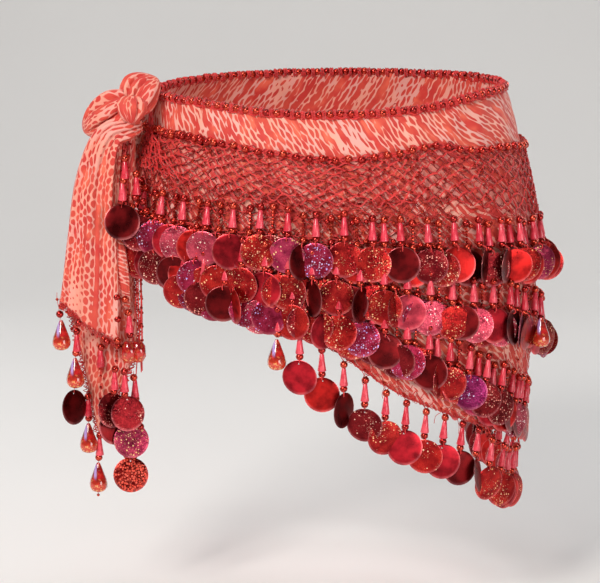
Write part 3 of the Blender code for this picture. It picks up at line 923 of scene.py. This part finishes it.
def build_wrap():
    """The chiffon triangle round the hips, whose strokes swing round at one place in front."""
    columns, rows = 290, 58
    angle = np.linspace(REAR_END, FRONT_END, columns)[None, :]
    share = np.linspace(0, 1, rows)[:, None]
    top = top_edge(angle)
    height = top + (cloth_line(HEM, angle) - top) * share
    arc = arc_at(angle)
    pucker = (
        0.0006 * np.sin(arc * 190 + 3 * np.sin(height * 60))
        + 0.0005 * np.sin(arc * 75 - height * 120)
        + 0.0012 * share**3 * np.sin(arc * 48 + 1.3)
    )
    printed = print_turn(arc, -height, PRINT_LEAN)
    swing_at, swing_reach = 0.085, 0.028
    swing = np.exp(-((arc[0] - swing_at) / swing_reach) ** 2)
    printed[..., 0] -= np.cumsum(0.36 * swing * np.gradient(arc[0]))
    printed[..., 0] += 0.34 * swing * (np.minimum(-height, 0.050) - 0.022)
    points = hip(angle, height, CLOTH_THICKNESS / 2 + pucker)
    piece = cloth_piece("wrap_cloth", points, printed, CHIFFON, ["wrap_panel"])
    # Share of painted shade under the net, from the net's top to a little above its foot.
    below = np.clip((cloth_line(NET_TOP, angle) + 0.001 - height) / 0.004, 0, 1)
    above = np.clip((height - cloth_line(NET_FOOT, angle) + 0.012) / 0.020, 0, 1)
    net_shade_share = piece.data.attributes.new("under_net", "FLOAT", "POINT")
    net_shade_share.data.foreach_set("value", (below * above).ravel())


def loose_thread(batch, angle, height, out, radius, rise, swing, **look):
    """Thread round the hips. Rise and swing are the sizes and scales of its irregularity."""
    arc = arc_at(angle)
    height = height + wander(arc, *rise)
    path = hip(angle, height, out + wander(arc, *swing))
    tube(batch, path, radius, **look)
    return path


def crochet_edge(batch, curve, down, width, pitch, radius=0.00042, strands=3):
    """Ragged crocheted edging: threads that zigzag down from a curve."""
    length = lengths_along(curve)
    even = np.linspace(0, length[-1], int(length[-1] / pitch * 6))
    path = np.stack([np.interp(even, length, curve[:, axis]) for axis in range(3)], axis=-1)
    for _ in range(strands):
        phase = RANDOM.uniform(0, math.tau)
        swing = 0.5 - 0.5 * np.cos(math.tau * even / pitch + phase + wander(even, 1.3, pitch * 9))
        reach = width * (0.80 + wander(even, 0.30, pitch * 3))
        depth = (swing * reach)[:, None] * np.asarray(down, float)
        aside = np.stack([wander(even, 0.0005, 0.011), wander(even, 0.0007, 0.009), 0 * even], axis=-1)
        tube(batch, path + depth + aside, radius)


def edge_bead(beads, threads, centre, along):
    """One bead of the top edge with the thread loops on its two sides."""
    add_bead(beads, BEAD_SHAPE, centre, upright_axes(along))
    outward = unit(np.cross(along, DOWN))
    upward = np.cross(outward, along)
    upward = upward * np.sign(upward[2])
    for side in (-1, 1):
        middle = centre + along * side * 0.0046 - outward * 0.0012 - upward * 0.0004
        turns = np.linspace(0, math.tau * 1.6, 18)[:, None] + RANDOM.uniform(0, 6)
        sweep = np.linspace(-0.0011, 0.0011, 18)[:, None]
        loop = (middle + outward * np.cos(turns) * 0.0025 + along * sweep * 1.3
                + upward * np.sin(turns) * 0.0032)
        tube(threads, loop, 0.00090, sides=4, reference=(0.1, 0.2, 0.97))


def build_edges():
    """Beads and thread loops along the top edge, and the bead row the net hangs from."""
    beads, threads = Batch(), Batch()
    fine = np.linspace(REAR_END, FRONT_END, 700)
    for rise in (0.0012, -0.0004, -0.0018):
        loose_thread(threads, fine, top_edge(fine) + rise, 0.0024, 0.0008,
                     (0.0005, 0.019), (0.0004, 0.012), sides=4)
    for angle in even_angles(REAR_END, FRONT_END, TOP_BEAD_SPACING):
        along, _ = along_and_out(angle, 0.0)
        height = top_edge(angle) + 0.0010 + RANDOM.normal(0, 0.0004)
        edge_bead(beads, threads, hip(angle, height, 0.0022), along)
    beads.build("top_edge_beads", BEAD, ["top_bead_edge"])
    threads.build("top_edge_loops", THREAD)

    row, cord = Batch(), Batch()
    for _ in range(3):
        loose_thread(cord, fine, cloth_line(NET_TOP, fine), 0.0026, 0.0006, (0.0012, 0.015), (0.0006, 0.010))
    everywhere = even_angles(REAR_END, FRONT_END, NET_BEAD_SPACING)
    near_knot = even_angles(125, FRONT_END, KNOT_BEAD_SPACING)
    for angle in np.concatenate([everywhere, near_knot]):
        along, _ = along_and_out(angle, 0.0)
        height = cloth_line(NET_TOP, angle) + RANDOM.normal(0, 0.0007)
        add_bead(row, BEAD_SHAPE, hip(angle, height, 0.0044), upright_axes(along))
    row.build("net_row_beads", BEAD, ["net_bead_row"])
    cord.build("net_row_cord", THREAD)


def net_layer(batch, seeds, upper, lower, rows, waves, radius, out, ends, seed_chance, clip=None, shade=1.0):
    """Rows of wavy thread that touch one another, which makes flattened cells.

    Upper, lower and clip give heights by angle, and out gives the distance from the cloth by share
    of the way down. The wave's length goes from waves[0] in the middle of the scarf to waves[1] at
    its ends.
    """
    start, stop = arc_at(ends[0]), arc_at(ends[1])
    angle = angle_at(np.linspace(start, stop, int((stop - start) / min(waves) * 7.5)))
    arc = arc_at(angle)
    nearness = np.clip((np.abs(angle) - 100) / 60, 0, 1) ** 1.5
    wave = waves[0] + (waves[1] - waves[0]) * nearness
    phase = np.cumsum(np.gradient(arc) * math.tau / wave) + wander(arc, 0.9, 0.13)
    sway = wander(arc, 0.0012, 0.060)
    levels = (np.arange(rows + 1) / rows) ** 1.2
    high, drop = upper(angle), upper(angle) - lower(angle)
    for row, (share, pitch) in enumerate(zip(levels, np.gradient(levels))):
        turn = phase + math.pi * row + wander(arc, 0.20, 0.045)
        height = high - drop * share + 0.52 * pitch * drop * np.cos(turn) + sway
        height = height + wander(arc, 0.0006, 0.017)
        stand = out(share) + wander(arc, 0.0005, 0.021)
        # Shade below 1 darkens a layer's threads: painted shade for layers that lie in the outer net's
        # shadow.
        tint = (shade * (1.0 + 0.15 * RANDOM.uniform(-1, 1)),) * 3
        points = hip(angle, height, stand)
        keep = height > (clip(angle) if clip else -1.0)
        runs = np.flatnonzero(np.diff(np.concatenate([[0], keep.astype(int), [0]])))
        for first, last in zip(runs[::2], runs[1::2]):
            if last - first > 6:
                tube(batch, points[first:last], radius, tint=tint)
        for node in np.flatnonzero((np.diff(np.sign(np.sin(turn))) != 0) & keep[1:]):
            if RANDOM.random() < seed_chance:
                add_bead(seeds, SEED_SHAPE, points[node])


def knot_loops(batch):
    """Open loops near the knot: threads that fan out from it down to the net's foot, and links."""
    share = np.linspace(0, 1, 40)
    fan = []
    for target in np.linspace(158, 134, 8):
        angle = 162 + (target - 162) * share
        fall = (cloth_line(NET_FOOT, target) + 0.012) * share ** 0.85
        height = -0.012 + fall + wander(share, 0.0010, 0.4)
        fan.append(hip(angle, height, 0.0064 + wander(share, 0.0008, 0.3)))
        tube(batch, fan[-1], 0.00078)
    for one, two in zip(fan, fan[1:]):
        for index in range(RANDOM.integers(8, 12), 38, 6):
            start, stop = one[index], two[min(index + RANDOM.integers(-2, 3), 39)]
            tube(batch, catmull([start, (start + stop) / 2 - UP * 0.0012, stop], 7), 0.00072)


def chain_rows(batch, beads, column, first, last):
    """Threads with beads that link the dangles of a tier at the levels of their beads."""
    angle = angle_at(np.linspace(last, first, 620))
    for drop, out in ((0.005, 0.0040), (0.0205, 0.0046), (0.0225, 0.0040)):
        points = loose_thread(batch, angle, tier_line(column, angle) - drop, out, 0.00045,
                              (0.0012, 0.021), (0.0005, 0.017), tint=(0.85,) * 3)
        for index in range(RANDOM.integers(0, 8), len(points) - 1, 8):
            if RANDOM.random() < 0.62:
                shape = SMALL_SHAPE if RANDOM.random() < 0.7 else SEED_SHAPE
                add_bead(beads, shape, points[index] + RANDOM.normal(0, 0.0008, 3))


def build_net():
    """The crocheted net on the cloth, its scalloped foot and the sparser net below it."""
    outer, inner, low, seeds = Batch(), Batch(), Batch(), Batch()
    whole = (REAR_END, FRONT_END)

    def below(line, column, drop=0.0):
        return lambda angle: line(column, angle) - drop

    top, foot = below(cloth_line, NET_TOP), below(cloth_line, NET_FOOT)
    # The inner layers are darkened by their shade: painted shade under the outer net.
    net_layer(inner, seeds, top, below(cloth_line, NET_FOOT, -0.002), 11, (0.0150, 0.0095), 0.00050,
              lambda share: 0.0020 + 0.0006 * share, whole, 0.05, shade=0.55)
    net_layer(outer, seeds, top, foot, 10, (0.0158, 0.0120), 0.00070,
              lambda share: 0.0032 + 0.0026 * share, whole, 0.30)
    for ends in ((-160, -58), (58, 160)):
        net_layer(inner, seeds, foot, below(tier_line, 1, 0.030), 10, (0.0140, 0.0100), 0.00042,
                  lambda share: 0.0024, ends, 0.22, shade=0.50)
        net_layer(inner, seeds, foot, below(tier_line, 1, 0.026), 6, (0.0150, 0.0100), 0.00048,
                  lambda share: 0.0036, ends, 0.20, shade=0.80)
    knot_loops(outer)
    outer.build("net_outer_threads", THREAD, ["net_panel"])
    inner.build("net_inner_threads", THREAD)
    net_layer(low, seeds, foot, below(cloth_line, NET_FOOT, 0.216), 25, (0.0175, 0.0135), 0.00032,
              lambda share: 0.0020, (-158, 158), 0.13, clip=below(cloth_line, HEM, -0.003))
    for _, column, first, last, *_ in TIERS[:3]:
        chain_rows(low, seeds, column, first, last)
    low.build("lower_net_threads", THREAD)
    seeds.build("net_seed_beads", BEAD)


def build_hem():
    """Crocheted border along the hem, with loose ends and small beads."""
    threads, beads = Batch(), Batch()
    angle = np.linspace(REAR_END, FRONT_END, 900)
    hem = cloth_line(HEM, angle)
    crochet_edge(threads, hip(angle, hem + 0.0062, 0.0022), DOWN, 0.0058, 0.0110, 0.00026, 2)
    crochet_edge(threads, hip(angle, hem + 0.0012, 0.0020), DOWN, 0.0024, 0.0060, 0.00028, 2)
    for _ in range(2):
        loose_thread(threads, angle, hem + 0.0004, 0.0016, 0.00042, (0.0007, 0.014), (0.0004, 0.01))
    for here in even_angles(-140, 140, HEM_END_SPACING):
        edge = hip(here, cloth_line(HEM, here) - 0.001, 0.002)
        if RANDOM.random() < 0.5:
            length = RANDOM.uniform(0.006, 0.013)
            tail_end = edge + RANDOM.normal(0, 0.003, 3) * (1, 1, 0) + DOWN * length
            middle = (edge + tail_end) / 2 + RANDOM.normal(0, 0.0014, 3)
            tube(threads, catmull([edge, middle, tail_end], 8), 0.00028)
        if RANDOM.random() < 0.6:
            add_bead(beads, SEED_SHAPE, edge + UP * 0.003)
    threads.build("hem_crochet", THREAD, ["hem_border"])
    beads.build("hem_seed_beads", BEAD)


# ---------------------------------------------------------------- the tie

def folded_tube(spine, half_widths, half_depths, pleats, lean=0.0, around=112, length=90):
    """Loose roll of cloth along a spine, flattened, with pleats that run down it.

    A pleat is its waves round the roll, its height at the top and foot, its phase and its drift.
    Returns the grid of points and the print coordinates, seam at the back.
    """
    centre = catmull(spine, length) * MM
    widths, depths = (catmull(np.array(sizes)[:, None], length) * MM for sizes in (half_widths, half_depths))
    tangent = unit(np.gradient(centre, axis=0))
    front = unit(AHEAD - tangent * (tangent @ AHEAD)[:, None])
    across = np.cross(front, tangent)
    share = np.linspace(0, 1, length)[:, None]
    turn = np.linspace(-math.pi / 2, math.pi * 1.5, around + 1)[None, :]
    push = 0.0
    for waves, height_top, height_foot, phase, drift in pleats:
        height = (height_top + (height_foot - height_top) * share) * MM
        wave = np.sin(waves * turn + phase + drift * share)
        push = push + height * (1 - np.abs(wave) ** 1.5 - 0.4)
    normal_x, normal_y = np.cos(turn) / widths, np.sin(turn) / depths
    push = push / np.hypot(normal_x, normal_y)
    x, y = widths * np.cos(turn) + push * normal_x, depths * np.sin(turn) + push * normal_y
    points = centre[:, None] + x[..., None] * across[:, None] + y[..., None] * front[:, None]
    round_print = (turn - math.pi / 2) / math.tau * 4.6 * widths
    return points, print_turn(round_print, -lengths_along(centre)[:, None], lean)


def lobe(pinch, far, half_width, half_depth, creases, bend):
    """Puffed loop of cloth from a pinch, with creases that run into the pinch."""
    share = np.linspace(0, 1, 54)[:, None]
    turn = np.linspace(0, math.tau, 93)[None, :]
    pinch, far, bend, half_width, half_depth = (
        np.array(size, float) * MM for size in (pinch, far, bend, half_width, half_depth))
    spine = pinch + (far - pinch) * share + bend * 4 * share * (1 - share)
    swell = np.maximum(np.sin(np.minimum(share * 0.93 + 0.07, 1) ** 0.72 * math.pi), 0.0) ** 0.62
    axis = unit(far - pinch)
    front = unit(AHEAD - axis * (axis @ AHEAD))
    across = np.cross(front, axis)
    ripple = 0.0
    for waves, depth, phase in creases:
        wave = np.abs(np.sin(waves * turn / 2 + phase + 0.6 * share))
        ripple = ripple + depth * (1 - wave ** 0.8) * (1 - share) ** 0.5
    radius = swell * (1 - ripple)
    points = (
        spine[:, None]
        + (radius * np.cos(turn) * half_width)[..., None] * across
        + (radius * np.sin(turn) * half_depth)[..., None] * front
    )
    run = np.linalg.norm(far - pinch)
    return points, print_turn(turn / math.tau * half_width * 5.0, share * run * 1.3, 0.0)


def gather(end, knot_top, knot_foot, phase):
    """Cloth that fans in from one end of the wrap to the knot, in pleats that meet there."""
    share = np.linspace(0, 1, 54)[None, :]
    fall = np.linspace(0, 1, 100)[:, None]
    height = top_edge(end) + (cloth_line(HEM, end) - top_edge(end)) * fall
    start = hip(end, height, CLOTH_THICKNESS / 2)
    knot_top, knot_foot = np.array(knot_top) * MM, np.array(knot_foot) * MM
    stop = knot_top * (1 - fall[..., None]) + knot_foot * fall[..., None]
    ease = (share ** 1.15)[..., None]
    deep = np.abs(np.sin(math.pi * 6.5 * fall + phase + 0.9 * share)) ** 0.7 - 0.5
    fine = np.abs(np.sin(math.pi * 17 * fall + 2 * phase - 1.6 * share)) ** 0.8 - 0.5
    swell = share ** 0.7 * (1 - 0.55 * share)
    _, outward = along_and_out(end, -0.03)
    pleats = ((0.0085 * deep + 0.0022 * fine) * swell)[..., None] * outward
    distance = np.linalg.norm(start - stop, axis=-1).mean()
    arc = arc_at(end) + np.sign(end) * share * distance
    return start * (1 - ease) + stop * ease + pleats, print_turn(arc, -height, PRINT_LEAN)


def on_grid(points, fall, share, out=0.0):
    """Places on a grid of points, by share of its rows and of its columns, lifted outwards."""
    fall, share = np.broadcast_arrays(np.asarray(fall, float), np.asarray(share, float))
    rows, columns, _ = points.shape
    row, column = np.clip(fall, 0, 1) * (rows - 1), np.clip(share, 0, 1) * (columns - 1)
    top, left = np.minimum(row.astype(int), rows - 2), np.minimum(column.astype(int), columns - 2)
    down, aside = (row - top)[..., None], (column - left)[..., None]
    upper = points[top, left] * (1 - aside) + points[top, left + 1] * aside
    lower = points[top + 1, left] * (1 - aside) + points[top + 1, left + 1] * aside
    outward = unit(points.mean(axis=(0, 1)) * (1, 1, 0))
    return upper * (1 - down) + lower * down + np.asarray(out)[..., None] * outward


def trim_gather(points, end, beads, threads):
    """The wrap's trimmings carried on over a gather: edge beads, net, and hem crochet."""
    tall = top_edge(end) - cloth_line(HEM, end)
    row_fall, foot_fall = ((top_edge(end) - cloth_line(line, end)) / tall for line in (NET_TOP, NET_FOOT))
    run = np.linalg.norm(points[0, 0] - points[0, -1])
    for share in np.linspace(0.06, 0.86, max(3, round(run * 0.8 / TOP_BEAD_SPACING))):
        along = unit(on_grid(points, 0.0, share + 0.02) - on_grid(points, 0.0, share - 0.02))
        edge_bead(beads, threads, on_grid(points, 0.0, share, 0.0022) + UP * 0.0010, along)
    line = np.linspace(0.0, 0.92, 60)
    for _ in range(3):
        curl = wander(line * run, 0.0010, 0.013)
        tube(threads, on_grid(points, row_fall + curl / tall, line, 0.0030), 0.0006)
    for share in np.linspace(0.08, 0.84, max(3, round(run * 0.76 / 0.0092))):
        add_bead(beads, BEAD_SHAPE, on_grid(points, row_fall, share, 0.0046))
    line = np.linspace(-0.01, 0.97, 150)
    wave, rows = 0.0088, 11
    turns = line * run * math.tau / wave
    pitch = (foot_fall - row_fall) / rows
    # The second, lower layer is darkened to 0.6: painted shade under the first.
    for layer, out, shade in ((0, 0.0036, 1.0), (1, 0.0022, 0.6)):
        for row in range(rows + 1):
            sway = 0.52 * np.cos(turns + math.pi * row + 1.7 * layer) + wander(line * run, 0.2, 0.03)
            lift = out + wander(line * run, 0.0006, 0.017)
            path = on_grid(points, row_fall + pitch * (row + sway), line, lift)
            tube(threads, path, 0.00052, tint=(shade,) * 3)
            for share in RANDOM.uniform(0, 0.9, 3):
                add_bead(beads, SEED_SHAPE, on_grid(points, row_fall + pitch * row, share, out))
    hem = on_grid(points, 1.0, np.linspace(0, 0.9, 80), 0.0018)
    crochet_edge(threads, hem + UP * 0.005, DOWN, 0.0064, 0.0046, strands=3)
    crochet_edge(threads, hem, DOWN, 0.0034, 0.0034, strands=2)


def raise_outer_corner(points):
    """The hem of the front tail climbs towards its outer corner."""
    rows = len(points)
    low = np.clip((np.arange(rows) / (rows - 1) - 0.45) / 0.55, 0, 1)[:, None]
    left, right = points[-1, :, 0].min(), points[-1, :, 0].max()
    outer = np.clip((right - points[..., 0]) / (right - left), 0, 1.3)
    points[..., 2] += 0.018 * outer**2 * low**2 - 0.014 * (1 - outer) * low**2


def build_gathers():
    beads, threads = Batch(), Batch()
    for name, end, knot_top, knot_foot, phase in (
        ("front_gather", FRONT_END, (-172, -36, 0), (-172, -40, -24), 0.6),
        ("rear_gather", REAR_END, (-172, -26, 0), (-172, -24, -24), 2.1),
    ):
        points, printed = gather(end, knot_top, knot_foot, phase)
        cloth_piece(name + "_cloth", points, printed, CHIFFON, [name])
        trim_gather(points, end, beads, threads)
    beads.build("gather_beads", BEAD)
    threads.build("gather_threads", THREAD)


def build_knot():
    for name, *shape in KNOT_LOBES:
        points, printed = lobe(*shape)
        cloth_piece(name + "_cloth", points, printed, KNOT_CHIFFON, [name], thickness=0.5 * MM)


def build_tails():
    """The roll that leaves the knot as the front tail, its twist of cloth and the rear tail."""
    front, printed = folded_tube(*FRONT_TAIL)
    raise_outer_corner(front)
    piece = cloth_piece("front_tail_cloth", front, printed, TAIL_CHIFFON, ["knot_throat", "front_tail"])
    twist, printed = folded_tube(*FRONT_TWIST, lean=-52.0, around=48, length=56)
    cloth_piece("front_tail_twist", twist, printed, TAIL_CHIFFON, thickness=0.5 * MM)
    rear, printed = folded_tube(*REAR_TAIL, around=84)
    piece = cloth_piece("rear_tail_cloth", rear, printed, TAIL_CHIFFON, ["rear_tail"])
    return front, rear


def build_tail_borders(front, rear):
    """Crocheted edging and beads round the hems of the two hanging ends, and the rear strands."""
    threads, edging, beads = Batch(), Batch(), Batch()
    hem = front[-1]
    crochet_edge(threads, hem + AHEAD * 0.0006, (0, -0.15, -1), 0.0052, 0.0062, 0.00030, 3)
    crochet_edge(threads, hem + AHEAD * 0.0006 + UP * 0.002, (0, -0.1, -1), 0.0030, 0.0040, 0.00030, 2)
    for index in range(0, len(hem) - 1, 9):
        shape = BEAD_SHAPE if index % 18 else SEED_SHAPE
        add_bead(beads, shape, hem[index] + (0, -0.002, -0.004))
    threads.build("front_tail_crochet", THREAD, ["front_tail_border"])

    rows, columns, _ = rear.shape
    left = rear[rows * 2 // 5:, columns * 3 // 4]
    right = rear[rows // 3:, columns // 4]
    for edge, outward in ((left, -1.0), (right, 1.0)):
        crochet_edge(edging, edge, (outward, -0.3, 0), 0.0036, 0.0050, strands=4)
        for index in range(4, len(edge) - 2, 7):
            add_bead(beads, SEED_SHAPE, edge[index] + (outward * 0.003, -0.0015, 0))
    for count, top, bottom in STRAND_BUNCHES:
        for _ in range(count):
            start = top + RANDOM.normal(0, 0.0024, 3)
            foot = bottom + RANDOM.normal(0, (0.0040, 0.0022, 0.0060))
            middle = (start + foot) / 2 + RANDOM.normal(0, 0.0022, 3)
            strand = catmull([start, middle, foot], 60)
            tube(edging, strand, 0.0006)
            for index in range(RANDOM.integers(2, 7), 58, 6):
                add_bead(beads, SEED_SHAPE, strand[index])
    edging.build("rear_tail_crochet", THREAD, ["rear_tail_border"])
    beads.build("tail_edge_beads", BEAD)


def tie_string(fringe, depth, items):
    """One string of TIE_STRINGS, with the thread through it."""
    route = []
    for kind, across, height, *turn in items:
        at = np.array([across, depth, height]) * MM
        if kind == "bead":
            fringe.bead(at, RIGHT)
        elif kind == "seed":
            fringe.bead(at, RIGHT, shape=SEED_SHAPE)
        elif kind == "cone":
            fringe.cone(at, RIGHT)
        elif kind == "drop":
            fringe.drop(at)
        elif kind == "stone":
            place(fringe.drops, STONE_SHAPE, at, shift=(STONE_SHIFT, 0.0, 0.0))
        else:
            yaw = math.radians(turn[0])
            fringe.disc(at, RIGHT, AHEAD, yaw, FILM_NAMES.index(kind), sway=0.3, nod=0.20 * math.cos(yaw))
            at = at + UP * (PAILLETTE_RADIUS - 0.0025)
        route.append(at)
    route.insert(0, route[0] + UP * 0.006)
    fringe.thread(catmull(route, 6 * len(route)))


def build_tie_strings():
    """The strings of beads on the tie. Those at the knot's side stand for no CAD node."""
    for group, strings in TIE_STRINGS.items():
        fringe = Fringe()
        for depth, items in strings:
            tie_string(fringe, depth, items)
        fringe.build(group, [] if group == "knot_side" else [group])


# ---------------------------------------------------------------- the tiers

def hanging_threads(batch, angles, column, rise, out):
    """Threads in a V above every dangle, up to the net between two dangles."""
    for one, two in zip(angles, angles[1:]):
        middle = (one + two) / 2
        peak = hip(middle, tier_line(column, middle) + rise + RANDOM.normal(0, 0.0008), out * 0.6)
        for angle in (one, two):
            bead = hip(angle, tier_line(column, angle) + BEAD_RADIUS * 0.6, out)
            tube(batch, catmull([bead, (bead + peak) / 2 - UP * 0.0009, peak], 7), 0.00042)


def random_film():
    return RANDOM.choice(len(FILMS), p=FILM_SHARES)


def build_tier(fringe, front, column, looseness, codes):
    """A front row of dangles and a row between and behind them.

    The codes give the films of the front row, as far as the triangle's point.
    """
    back = front[:-1] + np.diff(front) * RANDOM.uniform(0.40, 0.60, len(front) - 1)
    for angle in back:
        full = RANDOM.random() < (0.40 if abs(angle) < 62 else 0.12)
        height = tier_line(column, angle) + RANDOM.uniform(-0.004, 0.002)
        left_out = (column == 4 and abs(angle) > 35) or (column > 2 and abs(angle) < 20)
        if left_out:
            continue
        film = random_film()
        yaw = RANDOM.normal(0.0, 0.20) + (0 if RANDOM.random() < 0.90 else pick((-0.8, 0.8)))
        loose = KNOT_LOOSENESS if angle > NEAR_KNOT else looseness
        hip_dangle(fringe, angle, height, 0.0050, film, yaw, loose, seeds=not full)
    for number, angle in enumerate(front):
        height = tier_line(column, angle) + RANDOM.normal(0, 0.0009)
        code = codes[number] if angle > -1 and number < len(codes) else "?"
        yaw = RANDOM.normal(0.10, 0.13)
        edge_on = code.islower() or (code == "?" and RANDOM.random() < 0.15)
        film = FILM_CODES.find(code.upper())
        if film < 0:
            film = random_film()
        out = 0.0078 if column < 3 or abs(angle) > 30 else 0.0050
        loose = KNOT_LOOSENESS if angle > NEAR_KNOT else looseness
        hip_dangle(fringe, angle, height, out, film, yaw, loose, drop=code == "T", edge_on=edge_on)


def build_tiers():
    for name, column, first, last, spacing, looseness, rise in TIERS:
        fringe = Fringe()
        front = angle_at(np.arange(first, last, -spacing))
        build_tier(fringe, front, column, looseness, FRONT_FILMS[name])
        hanging_threads(fringe.threads, front, column, rise, 0.0066)
        fringe.build(name, [f"fringe_{name}"])


build_backdrop()
build_lights()
build_camera()
build_wrap()
build_edges()
build_net()
build_hem()
build_gathers()
build_knot()
build_tail_borders(*build_tails())
build_tie_strings()
build_tiers()
